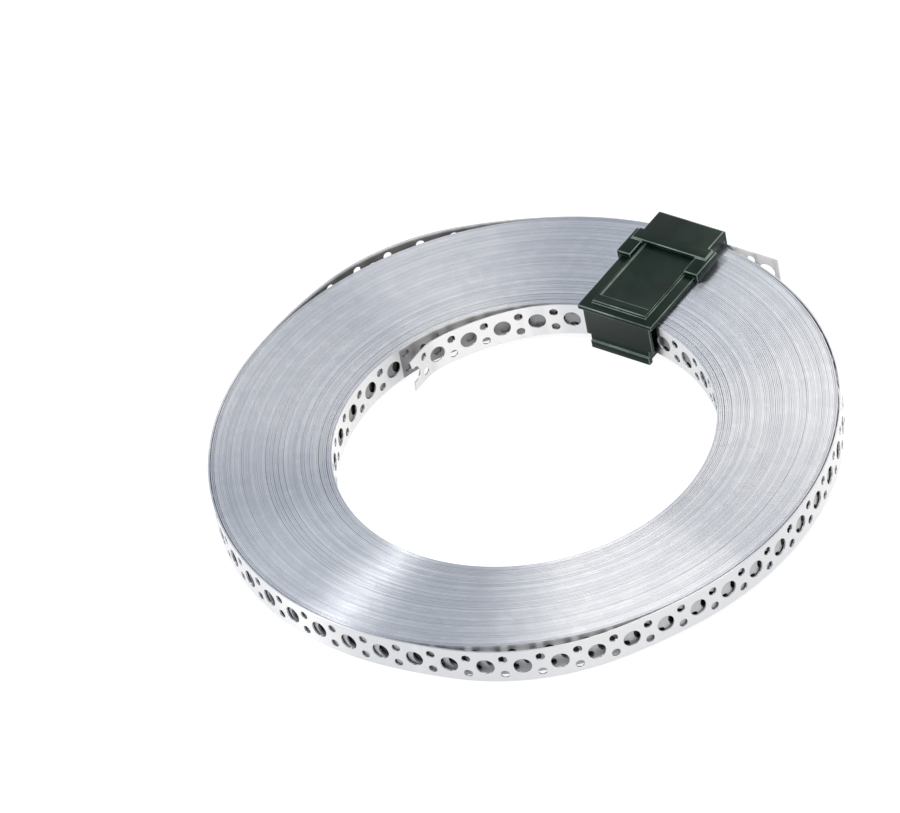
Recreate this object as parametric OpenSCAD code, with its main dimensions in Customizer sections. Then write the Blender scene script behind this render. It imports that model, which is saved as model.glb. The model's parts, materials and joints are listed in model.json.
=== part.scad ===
// Roll of perforated steel strap, lying flat, with the two-part plastic clip that keeps it shut.
// The coil's axis is Z, the floor is z = 0 and the clip sits on +X.

/* [Strap] */
// Width of the strap, which is the height of the roll
strap_w = 17; // [15:0.5:30]
// Thickness of the strap
strap_t = 0.7; // [0.5:0.05:0.75]

/* [Holes] */
// Diameter of the large holes on the centre line
large_hole_d = 8; // [5:0.5:9]
// Diameter of the small holes, which come in pairs
small_hole_d = 4; // [2.5:0.5:5]
// Distance from one large hole to the next
hole_pitch = 16; // [15:0.5:24]
// Distance across the strap between the two small holes of a pair
pair_gap = 8.4; // [6:0.2:9]

/* [Coil] */
// Radius of the bore, to the innermost turn
bore_r = 84.5; // [72:0.5:100]
// Number of turns
turns = 71; // [50:1:90]
// Mean distance from one turn to the next, which leaves some air between them
turn_pitch = 0.776; // [0.76:0.002:0.9]
// How far the innermost turn has slid off the axis, the others sharing it out
slump = 5; // [0:0.5:6]
// Turns between two of the seams that show on the ends
turns_per_seam = 3; // [2:1:8]
// Width of a seam at the end face
seam_w = 0.3; // [0.1:0.05:0.6]
// Depth of a seam
seam_depth = 0.4; // [0.2:0.05:0.8]
// Height to which the outermost turn stands off at the front
front_bow = 3.5; // [2:0.5:6]
// Height to which the outermost turn stands off at the back
back_bow = 5; // [2:0.5:6]
// Free length of the outer end, past the point where it leaves the coil
tail_l = 46; // [40:1:60]

/* [Clip] */
// Width of the clip's top plate
plate_w = 39; // [36:0.2:44]
// Thickness of the plates over and under the turns
plate_t = 2.2; // [1.6:0.1:3]
// Width of the wall in the bore
inner_wall_w = 35; // [32:0.5:36]
// Thickness of the wall in the bore
inner_wall_t = 1.8; // [1.2:0.1:2.2]
// How far the plates' edges stand proud of the wall in the bore
edge_lip = 0.8; // [0.4:0.1:1.5]
// Distance from the wall in the bore to the tongue's frame
frame_set = 3.4; // [1:0.2:5]
// Width of the tongue that runs into the sleeve
tongue_w = 28; // [24:0.5:30]
// Height of the tongue's raised frame above the plate
frame_h = 1.4; // [0.8:0.1:2]
// Depth of the panel inside the frame
panel_depth = 0.8; // [0.3:0.1:1]
// Width of the frame's side bars
frame_side = 1.2; // [0.8:0.1:2.5]
// Width of the frame's front bar
frame_front = 5; // [3:0.5:8]
// Width of the plate under the turns
under_plate_w = 31; // [26:0.5:31.5]
// Height of the notches beside the under plate
notch_h = 5; // [3.5:0.5:7]
// Thickness of the sleeve's roof and floor
sleeve_t = 1.8; // [1.2:0.1:2.6]
// Thickness of the sleeve's sides
sleeve_side = 1.6; // [1.4:0.1:3]
// Thickness of the wall outside the coil
outer_wall_t = 2.2; // [1.6:0.1:3]
// Length of the sleeve, back from the wall outside the coil
sleeve_l = 21; // [18:0.5:26]
// Length of the jaws that grip the plate's edges
jaw_l = 17; // [12:0.5:20]
// Length of the jaws that reaches past the sleeve's front edge
jaw_reach = 10; // [6:0.5:12]
// Thickness of the jaws outside the plate
jaw_t = 1.6; // [1.2:0.1:2.4]
// How far the jaws lie below the sleeve's roof
jaw_drop = 0.8; // [0.4:0.1:1]
// Bevel along the sleeve's rear top edge
rear_bevel = 1.2; // [0.4:0.1:1.6]

/* [Fits] */
// Room between the clip's plates and the strap
lie_gap = 0.15; // [0.1:0.05:0.4]
// Room between the clip's two halves
slide_gap = 0.2; // [0.1:0.05:0.4]
// Room between the clip's walls and the strap
wall_gap = 0.5; // [0.3:0.1:1]
// Room between the tongue's end and the outer wall
tongue_gap = 1.8; // [0.5:0.1:3]

/* [Hidden] */
$fn = 180;
hole_fn = 32;
steel = "gainsboro";
black = "darkslategray";
overcut = 1;

// How deep a turn beds into the next where the turns are one solid
bed = 0.05;
// The strap is flat round each hole: length of the flat at a large one
large_flat = large_hole_d + 1;

// Heights, from the floor up
under_plate_z = sleeve_t + slide_gap;
strap_z = under_plate_z + plate_t + lie_gap;
strap_top = strap_z + strap_w;
plate_z = strap_top + lie_gap;
plate_top = plate_z + plate_t;
frame_top = plate_top + frame_h;
sleeve_z = frame_top + slide_gap;
clip_top = sleeve_z + sleeve_t;

// Radii of the turns, and the point that each goes round, from the bore's own out to the axis
inner_turn_r = bore_r + strap_t / 2;
outer_turn_r = bore_r + (turns - 0.5) * turn_pitch;
coil_r = outer_turn_r + strap_t / 2;
slump_az = 219.5;
function turn_centre(n) = slump * (1 - n / turns) * [cos(slump_az), sin(slump_az), 0];
bore_centre = turn_centre(0);
core_in = bore_r + strap_t - pow(large_flat, 2) / (8 * bore_r) - bed;
core_out = coil_r - strap_t + bed;

// Distances from the coil's axis to the clip's faces
bore_x = bore_centre[0] + sqrt(pow(bore_r, 2) - pow(inner_wall_w / 2 + abs(bore_centre[1]), 2));
inner_wall_x = bore_x - inner_wall_t - wall_gap;
plate_x = inner_wall_x - edge_lip;
frame_x = inner_wall_x + frame_set;
outer_wall_x = coil_r + wall_gap;
clip_out = outer_wall_x + outer_wall_t;
sleeve_x = clip_out - sleeve_l;
jaw_x = sleeve_x - jaw_reach;
jaw_end = jaw_x + jaw_l;
plate_end = jaw_end - jaw_t - slide_gap;
tongue_end = outer_wall_x - tongue_gap;

// A run of strap is a list of stretches: [bend radius, angle turned], or [0, length] if straight.
// A pose on it is [x, y, heading].
function arc_l(r, angle) = r * angle * PI / 180;
function stretch_l(s) = s[0] == 0 ? s[1] : arc_l(s[0], s[1]);
function left(heading) = [-sin(heading), cos(heading)];
function along(pose, s, share) =
    s[0] == 0
    ? let (p = [pose[0], pose[1]] + share * s[1] * [cos(pose[2]), sin(pose[2])]) [p[0], p[1], pose[2]]
    : let (end = pose[2] + share * s[1],
           p = [pose[0], pose[1]] + s[0] * (left(pose[2]) - left(end))) [p[0], p[1], end];
function pose_at(run, start, l, n = 0) =
    let (whole = stretch_l(run[n]))
    l <= whole || n == len(run) - 1
    ? along(start, run[n], l / whole)
    : pose_at(run, along(start, run[n], 1), l - whole, n + 1);
function run_l(run, n = 0) = n == len(run) ? 0 : stretch_l(run[n]) + run_l(run, n + 1);
function on_circle(r, azimuth) = [r * cos(azimuth), r * sin(azimuth), azimuth + 90];

// A bow: the turn leaves its circle on a wide bend, comes round on a tight one and lands again.
// It rises by `rise` midway over `half` degrees each side, and its wide bends exceed r by `ease`.
function bow(r, rise, half, ease) =
    let (tighter = (pow(rise, 2) + 2 * rise * ease * cos(half)) / (2 * (ease * (1 - cos(half)) - rise)),
         meet = atan2(ease * sin(half), tighter + rise + ease * cos(half)))
    [[r + ease, half - meet], [r - tighter, 2 * meet], [r + ease, half - meet]];

// The outermost turn, from its free end anticlockwise round the coil and into the turn below
back_bow_az = 59;
back_bow_half = 33;
back_bow_ease = 80;
front_bow_az = 215;
front_bow_half = 28;
front_bow_ease = 110;
outer_end_az = 350;
tail_start = [outer_turn_r, -tail_l, 90];
outer_run = concat(
    [[0, tail_l], [outer_turn_r, back_bow_az - back_bow_half]],
    bow(outer_turn_r, back_bow, back_bow_half, back_bow_ease),
    [[outer_turn_r, front_bow_az - front_bow_half - back_bow_az - back_bow_half]],
    bow(outer_turn_r, front_bow, front_bow_half, front_bow_ease),
    [[outer_turn_r, outer_end_az - front_bow_az - front_bow_half]]);
// First large hole's place from the free end
outer_hole_start = 6.5;

// The innermost turn, round the bore and off it to the inner end, which springs inwards
inner_leave_az = 12;
inner_round = 338;
sprung_bends = [[64, 30], [100, 20], [60, 8]];
end_kink = [12, 20];
end_flat = [0, 11];
inner_start = bore_centre + on_circle(inner_turn_r, inner_leave_az - inner_round);
inner_run = concat([[inner_turn_r, inner_round]], sprung_bends, [end_kink, end_flat]);
// The inner end was cut through a large hole, this far from its centre
inner_cut = 1.5;
inner_hole_start = (run_l(inner_run) - inner_cut) % hole_pitch;

module at_pose(pose) {
    translate([pose[0], pose[1], 0])
        rotate(pose[2])
            children();
}

module hole(d, offset) {
    translate([0, 0, strap_z + strap_w / 2 + offset])
        rotate([90, 0, 0])
            cylinder(d = d, h = strap_t + 2 * overcut, center = true, $fn = hole_fn);
}

// The strap's edge along a run, at `offset` to the left of its middle, with a corner between flats
function edge(run, start, hole_start, offset) =
    let (length = run_l(run),
         corners = [for (l = [hole_start - hole_pitch : hole_pitch : length + hole_pitch])
                        for (side = [-1, 1]) l + side * large_flat / 2],
         places = concat([0], [for (l = corners) if (l > bed && l < length - bed) l], [length]))
    [for (l = places)
        let (pose = pose_at(run, start, l)) [pose[0], pose[1]] + offset * left(pose[2])];
function backwards(list) = [for (n = [len(list) - 1 : -1 : 0]) list[n]];

// A run of strap on edge, with its row of large holes and its pairs of small ones between them
module strap_run(run, start, hole_start) {
    length = run_l(run);
    difference() {
        translate([0, 0, strap_z])
            linear_extrude(strap_w)
                polygon(concat(edge(run, start, hole_start, -strap_t / 2),
                               backwards(edge(run, start, hole_start, strap_t / 2))));
        for (l = [hole_start : hole_pitch : length])
            at_pose(pose_at(run, start, l))
                hole(large_hole_d, 0);
        for (l = [hole_start - hole_pitch / 2 : hole_pitch : length - small_hole_d / 2])
            if (l > small_hole_d / 2)
                for (side = [-1, 1])
                    at_pose(pose_at(run, start, l))
                        hole(small_hole_d, side * pair_gap / 2);
    }
}

// The groove between two turns on both ends of the coil
module seam(n) {
    half = seam_w / 2 * (1 + overcut / seam_depth);
    r = bore_r + n * turn_pitch;
    translate(turn_centre(n))
        rotate_extrude() {
            polygon([[r - half, strap_z - overcut], [r + half, strap_z - overcut],
                     [r, strap_z + seam_depth]]);
            polygon([[r - half, strap_top + overcut], [r, strap_top - seam_depth],
                     [r + half, strap_top + overcut]]);
        }
}

// The turns between the innermost and the outermost one, with the seams that show on both ends
module wound_turns() {
    difference() {
        translate([0, 0, strap_z])
            cylinder(r = core_out, h = strap_w);
        translate(bore_centre + [0, 0, strap_z - overcut])
            cylinder(r = core_in, h = strap_w + 2 * overcut);
        for (n = [turns_per_seam : turns_per_seam : turns - 2])
            seam(n);
    }
}

module strap_coil() {
    color(steel) {
        wound_turns();
        strap_run(outer_run, tail_start, outer_hole_start);
        strap_run(inner_run, inner_start, inner_hole_start);
    }
}

// A plate centred on the clip's own line, from x0 to x1 and from z0 to z1
module slab(x0, x1, width, z0, z1) {
    translate([x0, -width / 2, z0])
        cube([x1 - x0, width, z1 - z0]);
}

module clip_inner_half() {
    color(black)
        difference() {
            union() {
                slab(inner_wall_x, inner_wall_x + inner_wall_t, inner_wall_w, under_plate_z, plate_top);
                slab(plate_x, plate_end, plate_w, plate_z, plate_top);
                slab(plate_x, tongue_end, tongue_w, plate_z, plate_top);
                slab(frame_x, tongue_end, tongue_w, plate_top, frame_top);
                slab(plate_x, tongue_end, under_plate_w, under_plate_z, under_plate_z + plate_t);
                slab(plate_x, inner_wall_x + inner_wall_t, under_plate_w, 0, under_plate_z);
            }
            slab(frame_x + frame_front, tongue_end - frame_front, tongue_w - 2 * frame_side,
                frame_top - panel_depth, frame_top + overcut);
            for (side = [-1, 1])
                translate([plate_x - overcut,
                           side > 0 ? under_plate_w / 2 : -inner_wall_w / 2 - overcut,
                           under_plate_z - overcut])
                    cube([edge_lip + inner_wall_t + 2 * overcut,
                          (inner_wall_w - under_plate_w) / 2 + overcut, notch_h + overcut]);
        }
}

module clip_outer_half() {
    block_w = max(tongue_w, under_plate_w) + 2 * (slide_gap + sleeve_side);
    jaw_w = plate_w + 2 * (slide_gap + jaw_t);
    color(black)
        difference() {
            union() {
                rotate([90, 0, 0])
                    linear_extrude(block_w, center = true)
                        polygon([[sleeve_x, 0], [clip_out, 0], [clip_out, clip_top - rear_bevel],
                                 [clip_out - rear_bevel, clip_top], [sleeve_x, clip_top]]);
                slab(sleeve_x, jaw_end, plate_w, plate_z, clip_top);
                slab(jaw_x, jaw_end, jaw_w, plate_z, clip_top - jaw_drop);
            }
            // Room for the coil
            slab(sleeve_x - overcut, outer_wall_x, jaw_w, strap_z - lie_gap, plate_z);
            // Room for the plate's edges
            slab(jaw_x - overcut, jaw_end - jaw_t, plate_w + 2 * slide_gap, plate_z - overcut,
                plate_top + slide_gap);
            // Room for the tongue
            slab(sleeve_x - overcut, outer_wall_x, tongue_w + 2 * slide_gap, plate_z - overcut, sleeve_z);
            slab(jaw_x - overcut, sleeve_x, tongue_w + 2 * slide_gap, plate_z - overcut,
                clip_top + overcut);
            // Room for the under plate
            slab(sleeve_x - overcut, outer_wall_x, under_plate_w + 2 * slide_gap, sleeve_t, strap_z);
        }
}

strap_coil();
clip_inner_half();
clip_outer_half();
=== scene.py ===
"""Looks of a flat-lying roll of perforated steel strap with its two-part plastic clip.

Sizes are millimetres until a mesh is made, and azimuths are degrees anticlockwise from the clip.
"""

from __future__ import annotations

import json
import logging
import math
from dataclasses import dataclass, field
from enum import Enum

import bpy
import numpy as np
from mathutils import Matrix, Vector

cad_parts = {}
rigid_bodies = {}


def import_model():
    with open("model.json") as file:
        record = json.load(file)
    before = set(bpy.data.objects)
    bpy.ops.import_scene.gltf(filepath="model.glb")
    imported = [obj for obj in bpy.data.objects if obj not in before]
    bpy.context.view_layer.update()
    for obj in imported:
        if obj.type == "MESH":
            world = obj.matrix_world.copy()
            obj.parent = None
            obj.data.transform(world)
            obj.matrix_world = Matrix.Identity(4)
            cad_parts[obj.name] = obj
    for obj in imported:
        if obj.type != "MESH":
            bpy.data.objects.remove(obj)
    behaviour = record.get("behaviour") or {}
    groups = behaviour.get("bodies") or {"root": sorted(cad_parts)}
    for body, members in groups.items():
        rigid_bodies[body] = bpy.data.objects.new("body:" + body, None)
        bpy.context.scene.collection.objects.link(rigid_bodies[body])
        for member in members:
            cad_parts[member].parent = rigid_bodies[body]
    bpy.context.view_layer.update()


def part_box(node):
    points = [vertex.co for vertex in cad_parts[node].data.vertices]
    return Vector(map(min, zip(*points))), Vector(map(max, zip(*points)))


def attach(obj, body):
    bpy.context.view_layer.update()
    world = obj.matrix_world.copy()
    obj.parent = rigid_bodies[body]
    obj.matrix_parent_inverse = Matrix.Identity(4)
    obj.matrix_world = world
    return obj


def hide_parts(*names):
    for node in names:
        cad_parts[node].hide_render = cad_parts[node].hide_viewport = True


LOG = logging.getLogger("strap_roll")
MM = 0.001
TINY = 1e-6
WHITE = (1.0, 1.0, 1.0, 1.0)


class Slot(Enum):
    """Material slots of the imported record."""

    STEEL = "galvanised_steel"
    PLASTIC = "clip_plastic"


class Node(Enum):
    """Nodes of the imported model."""

    COIL = "strap_coil"
    CLIP_INNER = "clip_inner_half"
    CLIP_OUTER = "clip_outer_half"


class Body(Enum):
    """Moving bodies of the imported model."""

    ROLL = "roll"
    CLIP_OUTER = "clip_outer"


class Turns(Enum):
    """Turns that share one copy of the steel, which differs from the others only in its painted shade.

    Each has the copy's name, the painted shade on its broad faces, and more painted shade on those that
    look inwards.
    """

    OUTERMOST = ("outermost", 0.0, 0.75)
    INNERMOST = ("innermost", 0.0, 0.0)
    SECOND = ("second", 0.3, 0.0)
    SECOND_INNER = ("second_inner", 0.62, 0.0)
    SHUT = ("shut", 0.93, 0.0)


def linear(hex_colour: str) -> tuple[float, float, float, float]:
    """Turn an sRGB hex colour into linear RGBA.

    Args:
        hex_colour: Colour such as "#c8ccd0".

    Returns:
        Red, green, blue and an alpha of 1.
    """
    channels = [int(hex_colour[i:i + 2], 16) / 255 for i in (1, 3, 5)]
    light = [c / 12.92 if c <= 0.04045 else ((c + 0.055) / 1.055) ** 2.4 for c in channels]
    return (light[0], light[1], light[2], 1.0)


def add_node(
    tree: bpy.types.NodeTree,
    kind: str,
    values: dict | None = None,
    links: dict | None = None,
    **settings: object,
) -> bpy.types.Node:
    """Add a shader node with its settings, socket values and incoming links.

    Args:
        tree: Node tree that gets the node.
        kind: Node type without its "ShaderNode" prefix.
        values: Default values by input socket.
        links: Output sockets by the input socket that each feeds.
        settings: Properties of the node itself.

    Returns:
        The new node.
    """
    node = tree.nodes.new("ShaderNode" + kind)
    for name, setting in settings.items():
        setattr(node, name, setting)
    for socket, value in (values or {}).items():
        node.inputs[socket].default_value = value
    for socket, source in (links or {}).items():
        tree.links.new(source, node.inputs[socket])
    return node


def new_material(name: str) -> tuple[bpy.types.Material, bpy.types.NodeTree, bpy.types.Node]:
    """Make an empty node material.

    Args:
        name: Name of the material.

    Returns:
        The material, its node tree and its output node.
    """
    material = bpy.data.materials.new(name)
    material.use_nodes = True
    tree = material.node_tree
    tree.nodes.clear()
    return material, tree, add_node(tree, "OutputMaterial")


def set_ramp(node: bpy.types.Node, stops: list[tuple[float, tuple]]) -> None:
    """Give a colour ramp its two stops.

    Args:
        node: The colour ramp's node.
        stops: Place and colour of each stop.
    """
    for element, (place, colour) in zip(node.color_ramp.elements, stops):
        element.position = place
        element.color = colour


def seen_rays(tree: bpy.types.NodeTree) -> bpy.types.NodeSocket:
    """Tell rays that show a surface, to the camera or in metal or glass, from rays that it lights.

    Args:
        tree: Node tree of the surface.

    Returns:
        Socket that is 1 for the rays that show it.
    """
    path = add_node(tree, "LightPath")
    seen = path.outputs["Is Camera Ray"]
    for ray in ("Is Glossy Ray", "Is Transmission Ray"):
        both = add_node(tree, "Math", links={0: seen, 1: path.outputs[ray]}, operation="MAXIMUM")
        seen = both.outputs["Value"]
    return seen


@dataclass(frozen=True)
class GalvanisedSteel:
    """Cold-rolled steel strip, zinc dipped, then slit.

    Its broad faces are bright zinc. Its slit edges are duller, with faint spangle, and differ from turn
    to turn. Fine lines along the strip stretch each light into a streak across the turns. The rolling
    lines are finer on real strip, and are drawn coarser so that they show.
    """

    broad_zinc: str = "#dfe1e5"
    light_zinc: str = "#bec4ce"
    dull_zinc: str = "#b3b9c5"
    ring_tint: str = "#99a1b1"
    gap_dark: str = "#08090a"
    spangle_mm: float = 4.0
    cloud_mm: float = 12.0
    cloud_share: float = 0.6
    spangle_range: tuple[float, float] = (0.3, 0.7)
    ring_mm: float = 1.9
    ring_range: tuple[float, float] = (0.35, 0.68)
    ring_share: float = 0.55
    roughness: float = 0.39
    roughness_spread: float = 0.05
    anisotropy: float = 0.97
    across_turns: float = 0.25
    streak_jag: float = 0.03
    jags_per_ring: float = 3.0
    jag_range: tuple[float, float] = (0.3, 0.7)
    rolling_line_mm: float = 0.5
    rolling_squeeze: float = 0.02
    bump_mm: float = 0.01
    bump_strength: float = 0.35
    top_mm: float = 0.0
    broad_upright: tuple[float, float] = (0.5, 0.2)
    gap_depth_mm: tuple[float, float] = (0.4, 1.6)
    inward_mm: float = 10.0
    face_shade: float = 0.0
    inside_shade: float = 0.0
    first_turn_mm: float = 84.85
    wound_mm: float = 54.36
    slump_mm: float = 5.0
    slump_az: float = 219.5

    def ring_radius(self, tree: bpy.types.NodeTree, place: bpy.types.NodeSocket) -> bpy.types.NodeSocket:
        """Radius of the turn at a place, about its own slumped centre.

        Args:
            tree: Node tree of the material.
            place: Socket with the place.

        Returns:
            Socket with the radius in metres.
        """
        lean = math.radians(self.slump_az)
        plan = add_node(tree, "VectorMath", {1: (1.0, 1.0, 0.0)}, {0: place}, operation="MULTIPLY")
        radius = add_node(tree, "VectorMath", links={0: plan.outputs["Vector"]}, operation="LENGTH")
        along = add_node(
            tree, "VectorMath", {1: (math.cos(lean), math.sin(lean), 0.0)}, {0: place},
            operation="DOT_PRODUCT")
        cosine = add_node(
            tree, "Math", links={0: along.outputs["Value"], 1: radius.outputs["Value"]}, operation="DIVIDE")
        slid = self.slump_mm * (1 + self.first_turn_mm / self.wound_mm) * MM
        above = add_node(
            tree, "Math", {1: -slid}, {0: cosine.outputs["Value"], 2: radius.outputs["Value"]},
            operation="MULTIPLY_ADD")
        below = add_node(
            tree, "Math", {1: -self.slump_mm / self.wound_mm, 2: 1.0}, {0: cosine.outputs["Value"]},
            operation="MULTIPLY_ADD")
        return add_node(
            tree, "Math", links={0: above.outputs["Value"], 1: below.outputs["Value"]},
            operation="DIVIDE").outputs["Value"]

    def edge_tint(
        self,
        tree: bpy.types.NodeTree,
        place: bpy.types.NodeSocket,
        cloud: bpy.types.NodeSocket,
        radius: bpy.types.NodeSocket,
    ) -> bpy.types.NodeSocket:
        """Colour of the slit edges: spangle under rings of a duller tint.

        Args:
            tree: Node tree of the material.
            place: Socket with the place.
            cloud: Socket with the zinc's coarse clouds.
            radius: Socket with the turn's radius.

        Returns:
            Socket with the colour.
        """
        spangle = add_node(
            tree, "TexVoronoi", {"Scale": 1 / (self.spangle_mm * MM), "Randomness": 1.0}, {"Vector": place})
        mixed = add_node(
            tree, "Mix", {"Factor": self.cloud_share}, {"A": spangle.outputs["Color"], "B": cloud},
            data_type="FLOAT")
        zinc = add_node(tree, "ValToRGB", links={"Fac": mixed.outputs["Result"]})
        set_ramp(zinc, list(zip(self.spangle_range, (linear(self.dull_zinc), linear(self.light_zinc)))))
        rings = add_node(
            tree, "TexNoise", {"Scale": 1 / (self.ring_mm * MM), "Detail": 3.0}, {"W": radius},
            noise_dimensions="1D")
        low, high = self.ring_range
        share = add_node(
            tree, "MapRange", {"From Min": low, "From Max": high, "To Max": self.ring_share},
            {"Value": rings.outputs["Fac"]})
        return add_node(
            tree, "Mix", {7: linear(self.ring_tint)},
            {0: share.outputs["Result"], 6: zinc.outputs["Color"]}, data_type="RGBA").outputs[2]

    def gap_shade(
        self,
        tree: bpy.types.NodeTree,
        place: bpy.types.NodeSocket,
        normal: bpy.types.NodeSocket,
        broad: bpy.types.NodeSocket,
    ) -> bpy.types.NodeSocket:
        """Shade that the turns and their holes throw on broad faces in the gaps between them.

        Args:
            tree: Node tree of the material.
            place: Socket with the place.
            normal: Socket with the face's normal.
            broad: Socket that is 1 on broad faces.

        Returns:
            Socket with the shade's share.
        """
        shallow, deep = (self.top_mm - depth for depth in self.gap_depth_mm)
        height = add_node(tree, "SeparateXYZ", links={0: place}).outputs["Z"]
        below = add_node(
            tree, "MapRange", {"From Min": shallow * MM, "From Max": deep * MM}, {"Value": height})
        towards = add_node(tree, "VectorMath", links={0: normal, 1: place}, operation="DOT_PRODUCT")
        inside = add_node(
            tree, "MapRange",
            {"From Min": 0.0, "From Max": -self.inward_mm * MM, "To Min": self.face_shade,
             "To Max": self.face_shade + self.inside_shade},
            {"Value": towards.outputs["Value"]})
        hidden = add_node(tree, "Math", links={0: broad, 1: below.outputs["Result"]}, operation="MULTIPLY")
        return add_node(
            tree, "Math", links={0: hidden.outputs["Value"], 1: inside.outputs["Result"]},
            operation="MULTIPLY").outputs["Value"]

    def streak_turn(self, tree: bpy.types.NodeTree, radius: bpy.types.NodeSocket) -> bpy.types.NodeSocket:
        """Turn of the streaks across the turns, a little different on each.

        Args:
            tree: Node tree of the material.
            radius: Socket with the turn's radius.

        Returns:
            Socket with the share of a whole turn.
        """
        jag = add_node(
            tree, "TexNoise", {"Scale": self.jags_per_ring / (self.ring_mm * MM), "Detail": 2.0},
            {"W": radius}, noise_dimensions="1D")
        low, high = self.jag_range
        return add_node(
            tree, "MapRange",
            {"From Min": low, "From Max": high, "To Min": self.across_turns - self.streak_jag / 2,
             "To Max": self.across_turns + self.streak_jag / 2},
            {"Value": jag.outputs["Fac"]}).outputs["Result"]

    def build(self, name: str) -> bpy.types.Material:
        """Make the node material.

        Args:
            name: Name of the material.

        Returns:
            The material.
        """
        material, tree, output = new_material(name)
        place = add_node(tree, "TexCoord").outputs["Object"]
        normal = add_node(tree, "NewGeometry").outputs["Normal"]
        radius = self.ring_radius(tree, place)
        cloud = add_node(
            tree, "TexNoise", {"Scale": 1 / (self.cloud_mm * MM), "Detail": 4.0},
            {"Vector": place}).outputs["Fac"]
        upright = add_node(
            tree, "Math", links={0: add_node(tree, "SeparateXYZ", links={0: normal}).outputs["Z"]},
            operation="ABSOLUTE")
        edge_from, broad_from = self.broad_upright
        broad = add_node(
            tree, "MapRange", {"From Min": edge_from, "From Max": broad_from},
            {"Value": upright.outputs["Value"]}).outputs["Result"]
        tint = add_node(
            tree, "Mix", {7: linear(self.broad_zinc)},
            {0: broad, 6: self.edge_tint(tree, place, cloud, radius)}, data_type="RGBA")
        shaded = add_node(
            tree, "Mix", {7: linear(self.gap_dark)},
            {0: self.gap_shade(tree, place, normal, broad), 6: tint.outputs[2]}, data_type="RGBA")
        dull = add_node(
            tree, "MapRange",
            {"To Min": self.roughness - self.roughness_spread / 2,
             "To Max": self.roughness + self.roughness_spread / 2},
            {"Value": cloud})
        squeeze = (self.rolling_squeeze, self.rolling_squeeze, 1.0)
        stretched = add_node(tree, "Mapping", {"Scale": squeeze}, {"Vector": place})
        rolling = add_node(
            tree, "TexNoise", {"Scale": 1 / (self.rolling_line_mm * MM), "Detail": 2.0},
            {"Vector": stretched.outputs["Vector"]})
        bump = add_node(
            tree, "Bump", {"Strength": self.bump_strength, "Distance": self.bump_mm * MM},
            {"Height": rolling.outputs["Fac"]})
        tangent = add_node(tree, "Tangent", direction_type="RADIAL", axis="Z")
        shader = add_node(
            tree, "BsdfPrincipled", {"Metallic": 1.0, "Anisotropic": self.anisotropy},
            {"Base Color": shaded.outputs[2], "Roughness": dull.outputs["Result"],
             "Normal": bump.outputs["Normal"], "Tangent": tangent.outputs["Tangent"],
             "Anisotropic Rotation": self.streak_turn(tree, radius)})
        tree.links.new(shader.outputs["BSDF"], output.inputs["Surface"])
        return material


@dataclass(frozen=True)
class MouldedPolypropylene:
    """Green-black injection-moulded polypropylene: waxy satin with a fine spark-eroded grain.

    The grain is finer on a real moulding, and is drawn coarser so that it shows.
    """

    deep: str = "#050f0c"
    # Paler stop of the plastic's mottle. In the copy for the clip's rounded edges, both stops are raised to
    # a lighter grey as a painted highlight.
    pale_mottle_and_highlight: str = "#101d19"
    flow_range: tuple[float, float] = (0.35, 0.75)
    grain_mm: float = 0.5
    flow_mm: float = 14.0
    flow_swirl: float = 0.6
    roughness: float = 0.3
    roughness_spread: float = 0.14
    refraction: float = 1.49
    specular: float = 0.155
    sheen_tint: str = "#cdf4f0"
    bump_mm: float = 0.015
    bump_strength: float = 0.3

    def build(self, name: str) -> bpy.types.Material:
        """Make the node material.

        Args:
            name: Name of the material.

        Returns:
            The material.
        """
        material, tree, output = new_material(name)
        place = add_node(tree, "TexCoord").outputs["Object"]
        flow = add_node(
            tree, "TexNoise",
            {"Scale": 1 / (self.flow_mm * MM), "Detail": 5.0, "Distortion": self.flow_swirl},
            {"Vector": place})
        tint = add_node(tree, "ValToRGB", links={"Fac": flow.outputs["Fac"]})
        set_ramp(tint, list(zip(self.flow_range, (linear(self.deep), linear(self.pale_mottle_and_highlight)))))
        dull = add_node(
            tree, "MapRange",
            {"To Min": self.roughness - self.roughness_spread / 2,
             "To Max": self.roughness + self.roughness_spread / 2},
            {"Value": flow.outputs["Fac"]})
        grain = add_node(
            tree, "TexNoise", {"Scale": 1 / (self.grain_mm * MM), "Detail": 2.0}, {"Vector": place})
        bump = add_node(
            tree, "Bump", {"Strength": self.bump_strength, "Distance": self.bump_mm * MM},
            {"Height": grain.outputs["Fac"]})
        shader = add_node(
            tree, "BsdfPrincipled",
            {"IOR": self.refraction, "Specular IOR Level": self.specular,
             "Specular Tint": linear(self.sheen_tint)},
            {"Base Color": tint.outputs["Color"], "Roughness": dull.outputs["Result"],
             "Normal": bump.outputs["Normal"]})
        tree.links.new(shader.outputs["BSDF"], output.inputs["Surface"])
        return material


@dataclass(frozen=True)
class StudioPaper:
    """Matt white paper for the floor, which keeps the object's shadow."""

    white: str = "#f6f6f6"
    glow: float = 1.12
    glow_share: float = 0.8

    def build(self) -> bpy.types.Material:
        """Make the node material.

        Returns:
            The material.
        """
        material, tree, output = new_material("studio_paper")
        paper = add_node(tree, "BsdfDiffuse", {"Color": linear(self.white)})
        glow = add_node(tree, "Emission", {"Color": WHITE, "Strength": self.glow})
        share = add_node(tree, "Math", {1: self.glow_share}, {0: seen_rays(tree)}, operation="MULTIPLY")
        mix = add_node(
            tree, "MixShader",
            links={"Fac": share.outputs["Value"], 1: paper.outputs["BSDF"], 2: glow.outputs["Emission"]})
        tree.links.new(mix.outputs["Shader"], output.inputs["Surface"])
        return material


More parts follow.
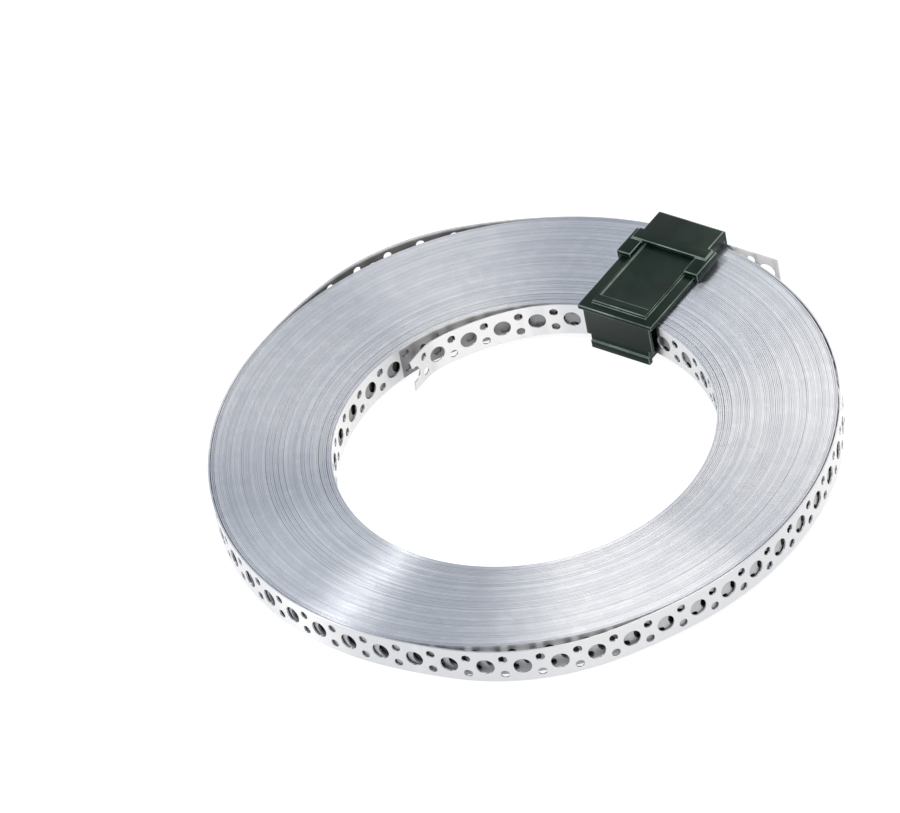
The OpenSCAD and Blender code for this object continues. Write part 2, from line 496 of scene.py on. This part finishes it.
@dataclass
class Line:
    """A plan line with arc length: places, headings, each point's lift and the room across for it."""

    points: np.ndarray
    lift: np.ndarray
    room: np.ndarray
    length: np.ndarray = field(init=False)
    heading: np.ndarray = field(init=False)

    def __post_init__(self) -> None:
        """Work out the arc length and the heading along the line."""
        steps = np.diff(self.points, axis=0)
        self.length = np.concatenate([[0.0], np.cumsum(np.hypot(steps[:, 0], steps[:, 1]))])
        slope = np.gradient(self.points, self.length, axis=0)
        self.heading = np.unwrap(np.arctan2(slope[:, 1], slope[:, 0]))

    def place(self, along: np.ndarray, offset: np.ndarray, height: np.ndarray) -> np.ndarray:
        """Put points beside the line.

        Args:
            along: Arc lengths.
            offset: Distances to the left of the line.
            height: Heights above the frame's origin, before the line's own lift.

        Returns:
            Points, one row each.
        """
        x = np.interp(along, self.length, self.points[:, 0])
        y = np.interp(along, self.length, self.points[:, 1])
        h = np.interp(along, self.length, self.heading)
        z = np.interp(along, self.length, self.lift)
        return np.stack([x - offset * np.sin(h), y + offset * np.cos(h), height + z], axis=-1)


def select_only(piece: bpy.types.Object) -> None:
    """Make one object the only selected one, and the active one.

    Args:
        piece: The object.
    """
    bpy.ops.object.select_all(action="DESELECT")
    piece.select_set(True)
    bpy.context.view_layer.objects.active = piece


class MeshParts:
    """Corners and faces of a mesh, gathered piece by piece, with the turns that each face belongs to."""

    merge_mm = 0.005

    def __init__(self) -> None:
        """Start with nothing."""
        self.corners: list[np.ndarray] = []
        self.faces: list[tuple[int, ...]] = []
        self.owners: list[Turns] = []
        self.turns = Turns.OUTERMOST
        self.count = 0

    def add(self, corners: np.ndarray, faces: list[tuple[int, ...]]) -> None:
        """Add corners and faces.

        Args:
            corners: Corners, one row each.
            faces: Faces, by corner numbers that count from the first of these corners.
        """
        self.corners.append(corners)
        self.faces.extend(tuple(i + self.count for i in face) for face in faces)
        self.owners.extend([self.turns] * len(faces))
        self.count += len(corners)

    def make(self, name: str, shaded_steels: dict[Turns, bpy.types.Material]) -> bpy.types.Object:
        """Make the object, with like corners merged and its faces turned outwards.

        Args:
            name: Name of the object.
            shaded_steels: Its materials, copies of the steel that differ only in painted shade, by the
                turns that have them.

        Returns:
            The object, at the origin.
        """
        mesh = bpy.data.meshes.new(name)
        mesh.from_pydata((np.concatenate(self.corners) * MM).tolist(), [], self.faces)
        for finish in shaded_steels.values():
            mesh.materials.append(finish)
        index = {turns: n for n, turns in enumerate(shaded_steels)}
        mesh.polygons.foreach_set("material_index", [index[turns] for turns in self.owners])
        made = bpy.data.objects.new(name, mesh)
        bpy.context.scene.collection.objects.link(made)
        select_only(made)
        bpy.ops.object.mode_set(mode="EDIT")
        bpy.ops.mesh.select_all(action="SELECT")
        bpy.ops.mesh.remove_doubles(threshold=self.merge_mm * MM)
        bpy.ops.mesh.select_all(action="SELECT")
        bpy.ops.mesh.normals_make_consistent(inside=False)
        bpy.ops.object.mode_set(mode="OBJECT")
        return made


@dataclass(frozen=True)
class Bow:
    """A stretch of the outermost turn that leaves its circle, stands off midway and lands again."""

    azimuth: float
    rise: float
    half: float
    ease: float

    def stretches(self, radius: float) -> list[tuple[float, float]]:
        """The bow's three bends: wide, tight and wide again.

        Args:
            radius: Radius of the circle.

        Returns:
            Bend radius and degrees turned, for each stretch.
        """
        rise, ease, turn = self.rise, self.ease, math.radians(self.half)
        cosine = math.cos(turn)
        tighter = (rise ** 2 + 2 * rise * ease * cosine) / (2 * (ease * (1 - cosine) - rise))
        meet = math.degrees(math.atan2(ease * math.sin(turn), tighter + rise + ease * cosine))
        wide = (radius + ease, self.half - meet)
        return [wide, (radius - tighter, 2 * meet), wide]


@dataclass
class StrapCoil:
    """The strap, one strip from its free outer end through all its turns to its sprung inner end."""

    width: float
    underside: float
    thickness: float = 0.7
    edge_round: float = 0.12

    # Holes, and the cells of strap round them
    large_hole_d: float = 8.0
    small_hole_d: float = 4.0
    hole_pitch: float = 16.0
    pair_gap: float = 8.4
    first_hole: float = 6.5
    last_hole: float = 1.5
    large_cell: float = 9.4
    large_splits: int = 4
    small_splits: int = 2
    cell_levels: tuple[float, ...] = (0.0, 1.2, 2.4, 3.6, 5.0, 6.6)
    second_shift: float = 11.7

    # The strap's line, from its free outer end to its inner one
    bore_r: float = 84.5
    outer_r: float = 139.208
    turns: int = 69
    turns_across: float = 70.5
    slump: float = 5.0
    slump_az: float = 219.5
    tail: float = 46.0
    back_bow: Bow = Bow(azimuth=59.0, rise=5.0, half=33.0, ease=80.0)
    front_bow: Bow = Bow(azimuth=215.0, rise=3.5, half=28.0, ease=110.0)
    step_az: tuple[float, float] = (318.0, 356.0)
    leave_az: float = 12.0
    sprung: tuple[tuple[float, float], ...] = ((64, 30), (100, 20), (60, 8), (12, 20), (0, 11))
    open_turns: float = 2.0
    point_az: float = 1.5

    # How unevenly the turns lie
    least_spacing: float = 0.95
    loose_spacing: float = 1.06
    apart_turns: tuple[int, int] = (2, 6)
    apart_spread: tuple[float, float] = (0.4, 1.2)
    bore_gaps: tuple[tuple[int, float], ...] = ((-4, 1.35), (-8, 1.3))
    lift_spread: float = 0.05
    lift_most: float = 0.45
    lifts_per_turn: int = 3
    level_turns: tuple[float, float] = (2.0, 1.5)
    seed: int = 7

    # The plain turns between the perforated ones
    wound_fill: float = 0.96
    wound_round: float = 0.05
    wound_segments: int = 100
    smooth_angle: float = 32.0

    @staticmethod
    def walk(start: tuple[float, float, float], stretches: list[tuple[float, float]]) -> np.ndarray:
        """Points along straight and round stretches.

        Args:
            start: Place and heading in degrees.
            stretches: Bend radius and degrees turned, or 0 and a length if straight.

        Returns:
            Points from the start to the end, about a millimetre apart.
        """
        x, y, heading = start
        points = [np.array([[x, y]])]
        for radius, amount in stretches:
            length = amount if radius == 0 else radius * math.radians(amount)
            share = np.linspace(0, 1, max(int(length), 2) + 1)[1:]
            h = math.radians(heading)
            if radius == 0:
                run = np.stack([x + share * amount * math.cos(h), y + share * amount * math.sin(h)], -1)
            else:
                g = h + share * math.radians(amount)
                run = np.stack([x + radius * (np.sin(g) - math.sin(h)),
                                y - radius * (np.cos(g) - math.cos(h))], -1)
                heading += amount
            points.append(run)
            x, y = run[-1]
        return np.concatenate(points)

    def outer_line(self) -> np.ndarray:
        """The outermost turn, from its free end to where it steps down.

        Returns:
            Points along it.
        """
        r, back, front = self.outer_r, self.back_bow, self.front_bow
        return self.walk(
            (r, -self.tail, 90.0),
            [(0, self.tail),
             (r, back.azimuth - back.half), *back.stretches(r),
             (r, front.azimuth - front.half - back.azimuth - back.half), *front.stretches(r),
             (r, self.step_az[0] - front.azimuth - front.half)])

    def turn_spacing(self, draw: np.random.Generator) -> np.ndarray:
        """Room that each turn takes. Most turns lie close, and after each few there is a wider gap.

        Args:
            draw: Source of random numbers.

        Returns:
            Each turn's room from the outside in, in shares that are scaled to fit later.
        """
        spacing = np.full(self.turns + 1, self.least_spacing)
        apart = np.cumsum(draw.integers(*self.apart_turns, self.turns))
        apart = apart[apart < self.turns - 2]
        spare = (1 - self.least_spacing) * self.turns / len(apart)
        spacing[apart] += draw.uniform(*self.apart_spread, len(apart)) * spare
        spacing[:2] = spacing[-3:] = self.loose_spacing
        for turn_number, wide in self.bore_gaps:
            spacing[turn_number] = wide
        return spacing

    def line(self) -> tuple[Line, float, float]:
        """The strap's whole line.

        Returns:
            The line, and the arc lengths between which its turns are wound shut.
        """
        draw = np.random.default_rng(self.seed)
        outer = self.outer_line()

        # Turns count from 0 at the bore. The outermost one steps down before it passes under the tail.
        inner_r = self.bore_r + self.thickness / 2
        most = self.turns_across
        pitch = (self.outer_r - inner_r) / most
        last_az = 360.0 * (1 + self.turns) + self.leave_az
        azimuth = np.arange(self.step_az[0], last_az, self.point_az)
        azimuth = np.append(azimuth[1:], last_az)
        under = np.clip((azimuth - 360.0) / (last_az - 360.0), 0, 1)
        step = np.clip((azimuth - self.step_az[0]) / (self.step_az[1] - self.step_az[0]), 0, 1)
        step = step * step * (3 - 2 * step)

        spacing = self.turn_spacing(draw)
        wound = np.concatenate([[0.0], np.cumsum(spacing)])
        wound /= wound[-1]
        place = np.interp(under, np.linspace(0, 1, len(wound)), wound)
        turn = most - step - (most - 1) * place
        radius = inner_r + pitch * turn
        shift = self.slump * (1 - turn / most)
        angle = np.radians(azimuth)
        lean = math.radians(self.slump_az)
        spiral = np.stack([shift * math.cos(lean) + radius * np.cos(angle),
                           shift * math.sin(lean) + radius * np.sin(angle)], -1)
        end = (spiral[-1][0], spiral[-1][1], self.leave_az + 90.0)
        inner = self.walk(end, list(self.sprung))[1:]

        # Turns lie a little higher or lower than each other, apart from the loose ones at both ends.
        heights = draw.normal(0, self.lift_spread, self.turns * self.lifts_per_turn + 1)
        heights = np.clip(heights, -self.lift_most, self.lift_most)
        lift = np.interp(under, np.linspace(0, 1, len(heights)), heights)
        outside, inside = self.level_turns
        lift *= np.clip(np.minimum(azimuth / 360.0 - outside, (last_az - azimuth) / 360.0 - inside), 0, 1)
        room = (pitch - self.slump / most * np.cos(angle - lean)) * spacing.min() / spacing.mean()
        whole = Line(np.concatenate([outer, spiral, inner]),
                     np.concatenate([np.zeros(len(outer)), lift, np.zeros(len(inner))]),
                     np.concatenate([np.full(len(outer), room[0]), room, np.full(len(inner), room[-1])]))
        turn_at = np.concatenate([np.full(len(outer), 0.0), azimuth / 360.0,
                                  np.full(len(inner), last_az / 360.0)])
        shut_from = float(np.interp(self.open_turns + 1, turn_at, whole.length))
        shut_to = float(np.interp(last_az / 360.0 - self.open_turns, turn_at, whole.length))
        return whole, shut_from, shut_to

    @property
    def flat_top(self) -> float:
        """Height at which the strap's flat face meets its rounded edge, from its middle."""
        return self.width / 2 - self.edge_round

    def levels(self) -> list[float]:
        """Heights of the corners on a cell's two ends, from the lowest up."""
        upper = [*self.cell_levels, self.flat_top]
        return sorted({side * level for level in upper for side in (-1, 1)})

    def section(self) -> list[tuple[float, float]]:
        """Outline of the strap's section.

        Returns:
            Offset and height of each corner, from the section's middle.
        """
        half, edge, top = self.thickness / 2, self.edge_round, self.width / 2
        levels = self.levels()
        near = [(-half, level) for level in levels] + [(-half + edge, top), (half - edge, top)]
        far = [(half, level) for level in reversed(levels)] + [(half - edge, -top), (-half + edge, -top)]
        return near + far

    @staticmethod
    def ring(corners: list[tuple[float, float]], centre: float, hole_d: float) -> list[tuple[float, float]]:
        """Points on a hole's edge that face a cell's outline.

        Args:
            corners: Outline points, along and across the strap.
            centre: Height of the hole's centre.
            hole_d: Diameter of the hole.

        Returns:
            One point for each outline point.
        """
        points = []
        for along, across in corners:
            angle = math.atan2(across - centre, along)
            points.append((hole_d / 2 * math.cos(angle), centre + hole_d / 2 * math.sin(angle)))
        return points

    def cell(self, parts: MeshParts, line: Line, at: float, outline: list[tuple[float, float]],
             centre: float, hole_d: float, closed: bool = True) -> None:
        """Add a stretch of strap round one hole.

        Args:
            parts: Mesh that gets the cell.
            line: The strap's line.
            at: Arc length of the hole's centre.
            outline: Anticlockwise outline points, along and across the strap.
            centre: Height of the hole's centre above the strap's middle.
            hole_d: Diameter of the hole.
            closed: Whether the hole is whole, and not cut through by the strap's end.
        """
        n, half, edge = len(outline), self.thickness / 2, self.flat_top
        flat = np.array(outline + self.ring(outline, centre, hole_d))
        ridge = flat[:n].copy()
        rise = np.where(np.abs(ridge[:, 1]) > edge - TINY, self.edge_round, 0)
        ridge[:, 1] += np.sign(ridge[:, 1]) * rise
        rows = [np.column_stack([flat, np.full(2 * n, side * half)]) for side in (-1, 1)]
        rows += [np.column_stack([ridge, np.full(n, side * (half - self.edge_round))]) for side in (-1, 1)]
        rows = np.concatenate(rows)
        corners = line.place(at + rows[:, 0], rows[:, 2], self.underside + self.width / 2 + rows[:, 1])
        out, hole, far_out, far_hole, near_ridge, far_ridge = (n * k for k in range(6))
        faces = []
        for i in range(n if closed else n - 1):
            j = (i + 1) % n
            faces.append((out + i, out + j, hole + j, hole + i))
            faces.append((far_hole + i, far_hole + j, far_out + j, far_out + i))
            faces.append((hole + i, hole + j, far_hole + j, far_hole + i))
            on_edge = all(abs(abs(outline[k][1]) - edge) < TINY for k in (i, j))
            if on_edge and outline[i][1] * outline[j][1] > 0:
                faces.append((out + j, out + i, near_ridge + i, near_ridge + j))
                faces.append((near_ridge + j, near_ridge + i, far_ridge + i, far_ridge + j))
                faces.append((far_ridge + j, far_ridge + i, far_out + i, far_out + j))
        if not closed:
            for i, order in ((0, 1), (n - 1, -1)):
                loop = (out + i, hole + i, far_hole + i, far_out + i, far_ridge + i, near_ridge + i)
                faces.append(loop[::order])
        parts.add(corners, faces)

    def rectangle(self, half: float, low: float, high: float, splits: int) -> list[tuple[float, float]]:
        """Anticlockwise outline of a cell.

        Args:
            half: Half its length along the strap.
            low: Its lower edge, from the strap's middle.
            high: Its upper edge.
            splits: Number of parts that its upper and lower edges have.

        Returns:
            Outline points, along and across the strap.
        """
        heights = [level for level in self.levels() if low - TINY <= level <= high + TINY]
        between = [half * (1 - 2 * k / splits) for k in range(1, splits)]
        return ([(half, h) for h in heights] + [(a, high) for a in between]
                + [(-half, h) for h in reversed(heights)] + [(-a, low) for a in between])

    def large(self, parts: MeshParts, line: Line, at: float) -> None:
        """Add the stretch round a large hole.

        Args:
            parts: Mesh that gets it.
            line: The strap's line.
            at: Arc length of the hole's centre.
        """
        top = self.flat_top
        outline = self.rectangle(self.large_cell / 2, -top, top, self.large_splits)
        self.cell(parts, line, at, outline, 0.0, self.large_hole_d)

    def small_pair(self, parts: MeshParts, line: Line, at: float) -> None:
        """Add the stretch round a pair of small holes.

        Args:
            parts: Mesh that gets it.
            line: The strap's line.
            at: Arc length of the holes' centres.
        """
        half, top = (self.hole_pitch - self.large_cell) / 2, self.flat_top
        for low, high, side in ((0.0, top, 1), (-top, 0.0, -1)):
            outline = self.rectangle(half, low, high, self.small_splits)
            self.cell(parts, line, at, outline, side * self.pair_gap / 2, self.small_hole_d)

    def cut_end(self, parts: MeshParts, line: Line, at: float) -> None:
        """Add the inner end, cut through a large hole so that two prongs are left.

        Args:
            parts: Mesh that gets it.
            line: The strap's line.
            at: Arc length of the hole's centre.
        """
        half, top, cut = self.large_cell / 2, self.flat_top, self.last_hole
        upper = [(along, top) for along in (cut, 0.0, -half / 2)]
        lower = [(along, -top) for along in (-half / 2, 0.0, cut)]
        outline = upper + [(-half, level) for level in reversed(self.levels())] + lower
        self.cell(parts, line, at, outline, 0.0, self.large_hole_d, closed=False)

    def end_cap(self, parts: MeshParts, line: Line, at: float, forward: bool) -> None:
        """Close a perforated stretch across the strap.

        Args:
            parts: Mesh that gets the cap.
            line: The strap's line.
            at: Arc length of the end.
            forward: Whether the cap faces along the strap.
        """
        rows = np.array(self.section())
        middle = self.underside + self.width / 2
        corners = line.place(np.full(len(rows), at), rows[:, 0], middle + rows[:, 1])
        order = list(range(len(rows)))
        parts.add(corners, [tuple(order if forward else order[::-1])])

    def plain(self, parts: MeshParts, line: Line, start: float, end: float, capped: bool) -> None:
        """Add a short stretch without holes.

        Args:
            parts: Mesh that gets it.
            line: The strap's line.
            start: Arc length at which it starts.
            end: Arc length at which it ends.
            capped: Whether its start is the strap's square-cut end.
        """
        section = self.section()
        n = len(section)
        rows = np.array(section + section)
        along = np.concatenate([np.full(n, start), np.full(n, end)])
        corners = line.place(along, rows[:, 0], self.underside + self.width / 2 + rows[:, 1])
        faces = [tuple(reversed(range(n)))] if capped else []
        faces += [(i, (i + 1) % n, n + (i + 1) % n, n + i) for i in range(n)]
        parts.add(corners, faces)

    def outer_turns(self, parts: MeshParts, line: Line, shut_from: float) -> float:
        """Add the perforated turns on the outside.

        A plain stretch under the clip and tail sets where the second turn's holes show through the first's.

        Args:
            parts: Mesh that gets them.
            line: The strap's line.
            shut_from: Arc length at which the plain turns may start.

        Returns:
            Arc length at which they end.
        """
        pairs_half = (self.hole_pitch - self.large_cell) / 2
        parts.turns = Turns.INNERMOST
        self.plain(parts, line, 0.0, self.first_hole - self.large_cell / 2, True)
        whole_turn = self.tail + 2 * math.pi * self.outer_r
        at = self.first_hole
        while at + self.hole_pitch < shut_from:
            parts.turns = Turns.OUTERMOST if at < whole_turn else Turns.SECOND
            if at < self.tail:
                parts.turns = Turns.INNERMOST
            self.large(parts, line, at)
            self.small_pair(parts, line, at + self.hole_pitch / 2)
            end = at + self.hole_pitch / 2 + pairs_half
            at += self.hole_pitch
            if parts.turns is Turns.OUTERMOST and at >= whole_turn:
                self.plain(parts, line, end, end + self.second_shift, False)
                at += self.second_shift
        self.end_cap(parts, line, end, True)
        return end

    def inner_turns(self, parts: MeshParts, line: Line, shut_to: float) -> float:
        """Add the perforated turns at the bore and the sprung inner end.

        Args:
            parts: Mesh that gets them.
            line: The strap's line.
            shut_to: Arc length at which the plain turns may end.

        Returns:
            Arc length at which they start.
        """
        last = line.length[-1] - self.last_hole
        count = int((last - shut_to) // self.hole_pitch)
        parts.turns = Turns.INNERMOST
        self.cut_end(parts, line, last)
        whole_turn = 2 * math.pi * self.bore_r
        for n in range(1, count + 1):
            at = last - n * self.hole_pitch
            parts.turns = Turns.INNERMOST if last - at < whole_turn else Turns.SECOND_INNER
            self.small_pair(parts, line, at + self.hole_pitch / 2)
            self.large(parts, line, at)
        start = last - count * self.hole_pitch - self.large_cell / 2
        self.end_cap(parts, line, start, False)
        return start

    def wound_turns(self, parts: MeshParts, line: Line, start: float, end: float) -> None:
        """Add the plain turns between the perforated ones, whose top edges show.

        Args:
            parts: Mesh that gets them.
            line: The strap's line.
            start: Arc length at which they start.
            end: Arc length at which they end.
        """
        parts.turns = Turns.SHUT
        edge, low, top = self.wound_round, self.underside, self.underside + self.width
        azimuth = np.unwrap(np.arctan2(line.points[:, 1], line.points[:, 0]))
        first, final = np.interp([start, end], line.length, azimuth)
        count = int((final - first) / (2 * math.pi) * self.wound_segments)
        along = np.interp(np.linspace(first, final, count), azimuth, line.length)
        half = np.interp(along, line.length, line.room) * self.wound_fill / 2
        across = np.stack([-half, edge - half, half - edge, half, half, -half], -1)
        levels = [top - edge, top, top, top - edge, low, low]
        n = len(levels)
        corners = line.place(np.repeat(along, n), across.ravel(), np.tile(levels, count))
        faces = [tuple(range(n)), tuple(reversed(range((count - 1) * n, count * n)))]
        for k in range(count - 1):
            a, b = k * n, (k + 1) * n
            faces.extend((a + i, b + i, b + (i + 1) % n, a + (i + 1) % n) for i in range(n))
        parts.add(corners, faces)

    def build(self) -> bpy.types.Object:
        """Make the strap.

        Returns:
            The strap's object.
        """
        # Each group of turns gets its own copy of the steel. The copies differ only in painted shade on
        # broad faces deep in the gaps between turns, and on the outermost turn's faces that look inwards.
        shaded_steels = {}
        for turns in Turns:
            name, face, inside = turns.value
            zinc = GalvanisedSteel(
                top_mm=self.underside + self.width, face_shade=face, inside_shade=inside)
            shaded_steels[turns] = zinc.build("galvanised_" + name)
        parts = MeshParts()
        line, shut_from, shut_to = self.line()
        start = self.outer_turns(parts, line, shut_from)
        end = self.inner_turns(parts, line, shut_to)
        self.wound_turns(parts, line, start, end)
        strap = parts.make("strap", shaded_steels)
        bpy.ops.object.shade_smooth_by_angle(angle=math.radians(self.smooth_angle))
        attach(strap, Body.ROLL.value)
        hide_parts(Node.COIL.value)
        return strap


@dataclass
class ClipHalf:
    """One moulded half of the clip, with the small rounds that a mould leaves on its edges."""

    node: Node
    body: Body
    name: str
    edge_round: float = 0.4
    round_steps: int = 3
    merge_mm: float = 0.002
    flat_angle: float = 1.0
    sharp_angle: float = 40.0
    smooth_angle: float = 35.0

    def copy_solid(self) -> bpy.types.Object:
        """Copy the half's solid, with its loose triangles merged into whole faces.

        Returns:
            The copy, selected and active.
        """
        select_only(bpy.data.objects[self.node.value])
        bpy.ops.object.duplicate()
        half = bpy.context.view_layer.objects.active
        bpy.ops.object.parent_clear(type="CLEAR_KEEP_TRANSFORM")
        for key in [key for key in half.keys() if key.startswith("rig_")]:
            del half[key]
        half.name = self.name
        half.data.name = self.name
        bpy.ops.object.mode_set(mode="EDIT")
        bpy.ops.mesh.select_all(action="SELECT")
        bpy.ops.mesh.customdata_custom_splitnormals_clear()
        bpy.ops.mesh.remove_doubles(threshold=self.merge_mm * MM)
        bpy.ops.mesh.dissolve_limited(angle_limit=math.radians(self.flat_angle))
        bpy.ops.object.mode_set(mode="OBJECT")
        return half

    def build(self, finish: bpy.types.Material, edges: bpy.types.Material) -> bpy.types.Object:
        """Make the half.

        Args:
            finish: Material of the clip.
            edges: Material of its rounded edges, whose lighter colour is a painted highlight.

        Returns:
            The half's object.
        """
        half = self.copy_solid()
        half.data.materials.clear()
        half.data.materials.append(finish)
        half.data.materials.append(edges)
        # The rounds take the edge material, whose lighter colour is a painted highlight.
        bevel = half.modifiers.new("mould_round", "BEVEL")
        bevel.width = self.edge_round * MM
        bevel.segments = self.round_steps
        bevel.material = half.data.materials.find(edges.name)
        bevel.limit_method = "ANGLE"
        bevel.angle_limit = math.radians(self.sharp_angle)
        bpy.ops.object.modifier_apply(modifier=bevel.name)
        bpy.ops.object.shade_smooth_by_angle(angle=math.radians(self.smooth_angle))
        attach(half, self.body.value)
        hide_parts(self.node.value)
        return half


@dataclass(frozen=True)
class LightPanel:
    """A square light panel that faces the coil.

    Its direction is in the picture's own terms, and its distance and side are metres.
    """

    name: str
    azimuth: float
    elevation: float
    away: float
    size: float
    watts: float
    tint: str


@dataclass
class Studio:
    """Floor, light and camera."""

    lip_x: float
    coil_reach: float
    coil_underside: float
    picture_width: int = 900
    picture_height: int = 813
    axis_px: tuple[float, float] = (529.9, 460.8)
    px_per_mm: float = 2.2805
    distance: float = 3000.0
    elevation: float = 40.95
    roll: float = -11.51
    clip_az: float = 48.82
    view_end_m: float = 50.0
    floor_side_m: float = 8.0
    floor_gap: float = 0.2
    room_tint: str = "#e4eaf6"
    room_light: float = 0.78
    panels: tuple[LightPanel, ...] = (
        LightPanel("left_panel", 176.0, 47.0, 2.2, 0.2, 14.9, "#fff8ec"),
        LightPanel("right_panel", 24.0, 38.0, 0.42, 0.42, 0.7, "#fff0d9"),
        LightPanel("top_panel", -60.0, 63.0, 0.3, 0.26, 0.74, "#fff2de"),
        LightPanel("fill_panel", 147.0, 36.0, 2.2, 0.8, 4.2, "#fff8ec"),
        LightPanel("rear_panel", 48.0, 27.0, 0.42, 0.25, 0.26, "#fff0d9"),
    )

    def frame_axes(self) -> tuple[Vector, Vector, Vector]:
        """Work out how the camera is turned.

        Returns:
            Its right, up and backward directions.
        """
        turn = Matrix.Rotation(-math.radians(self.clip_az), 3, "Z")
        e, r = math.radians(self.elevation), math.radians(self.roll)
        back = Vector((0, -math.cos(e), math.sin(e)))
        level, rise = Vector((1, 0, 0)), Vector((0, math.sin(e), math.cos(e)))
        right = math.cos(r) * level + math.sin(r) * rise
        up = -math.sin(r) * level + math.cos(r) * rise
        return turn @ right, turn @ up, turn @ back

    def direction(self, azimuth: float, elevation: float) -> Vector:
        """A direction in the picture's own terms.

        Args:
            azimuth: Degrees from the picture's right, anticlockwise seen from above.
            elevation: Degrees above the floor.

        Returns:
            The direction from the coil, of length 1.
        """
        a, e = math.radians(azimuth - self.clip_az), math.radians(elevation)
        return Vector((math.cos(a) * math.cos(e), math.sin(a) * math.cos(e), math.sin(e)))

    def build_camera(self) -> None:
        """Set up the camera at the picture's viewing angle."""
        right, up, back = self.frame_axes()
        aside = (self.axis_px[0] - self.picture_width / 2) / self.px_per_mm
        below = (self.axis_px[1] - self.picture_height / 2) / self.px_per_mm
        eye = back * self.distance - right * aside + up * below
        data = bpy.data.cameras.new("camera")
        data.sensor_fit = "HORIZONTAL"
        data.lens = self.px_per_mm * self.distance * data.sensor_width / self.picture_width
        data.clip_end = self.view_end_m
        camera = bpy.data.objects.new("camera", data)
        bpy.context.scene.collection.objects.link(camera)
        turn = Matrix((right, up, back)).transposed().to_4x4()
        camera.matrix_world = Matrix.Translation(eye * MM) @ turn
        bpy.context.scene.camera = camera

    def build_floor(self) -> None:
        """Lay the floor, leaning with the coil, which rests on the clip at one side."""
        bpy.ops.object.select_all(action="DESELECT")
        bpy.ops.mesh.primitive_plane_add(size=self.floor_side_m)
        floor = bpy.context.view_layer.objects.active
        floor.name = "floor"
        lean = math.atan(self.coil_underside / (self.lip_x + self.coil_reach))
        floor.matrix_world = (Matrix.Translation((self.lip_x * MM, 0, -self.floor_gap * MM))
                              @ Matrix.Rotation(lean, 4, "Y"))
        floor.data.materials.append(StudioPaper().build())

    def hang(self, panel: LightPanel) -> None:
        """Hang a light panel, which the camera doesn't see.

        Args:
            panel: The panel.
        """
        data = bpy.data.lights.new(panel.name, "AREA")
        data.shape = "SQUARE"
        data.size = panel.size
        data.energy = panel.watts
        data.color = linear(panel.tint)[:3]
        hung = bpy.data.objects.new(panel.name, data)
        hung.visible_camera = False
        bpy.context.scene.collection.objects.link(hung)
        towards = self.direction(panel.azimuth, panel.elevation)
        hung.matrix_world = (Matrix.Translation(towards * panel.away)
                             @ towards.to_track_quat("Z", "Y").to_matrix().to_4x4())

    def build_world(self) -> None:
        """Make the white surround that the camera and shiny surfaces see."""
        world = bpy.data.worlds.new("studio")
        bpy.context.scene.world = world
        world.use_nodes = True
        tree = world.node_tree
        tree.nodes.clear()
        room = add_node(
            tree, "Background", {"Color": linear(self.room_tint), "Strength": self.room_light})
        white = add_node(tree, "Background", {"Color": WHITE, "Strength": 1.0})
        mix = add_node(
            tree, "MixShader",
            links={"Fac": seen_rays(tree), 1: room.outputs["Background"], 2: white.outputs["Background"]})
        output = add_node(tree, "OutputWorld")
        tree.links.new(mix.outputs["Shader"], output.inputs["Surface"])

    def build(self) -> None:
        """Set up everything round the object."""
        self.build_world()
        self.build_floor()
        for panel in self.panels:
            self.hang(panel)
        self.build_camera()


def main() -> None:
    """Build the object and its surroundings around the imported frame."""
    logging.basicConfig(level=logging.INFO, format="%(name)s: %(message)s")
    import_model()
    bpy.context.scene.view_settings.view_transform = "Standard"
    low, high = (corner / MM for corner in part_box(Node.COIL.value))
    lip_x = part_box(Node.CLIP_INNER.value)[0].x / MM
    plastic = MouldedPolypropylene().build("moulded_polypropylene")
    # The clip's rounded edges get a lighter, shinier copy of the plastic. Its lighter colour is a painted
    # highlight.
    highlit_plastic = MouldedPolypropylene(deep="#3e4a46", pale_mottle_and_highlight="#76847f", roughness=0.22, specular=0.32)
    edges = highlit_plastic.build("painted_edge_highlight")
    pieces = [
        StrapCoil(width=high.z - low.z, underside=low.z).build(),
        ClipHalf(Node.CLIP_INNER, Body.ROLL, "clip_inner").build(plastic, edges),
        ClipHalf(Node.CLIP_OUTER, Body.CLIP_OUTER, "clip_outer").build(plastic, edges),
    ]
    for piece in pieces:
        count = sum(len(face.vertices) - 2 for face in piece.data.polygons)
        LOG.info("%s: %d triangles", piece.name, count)
    Studio(lip_x=lip_x, coil_reach=-low.x, coil_underside=low.z).build()


if __name__ == "__main__":
    main()
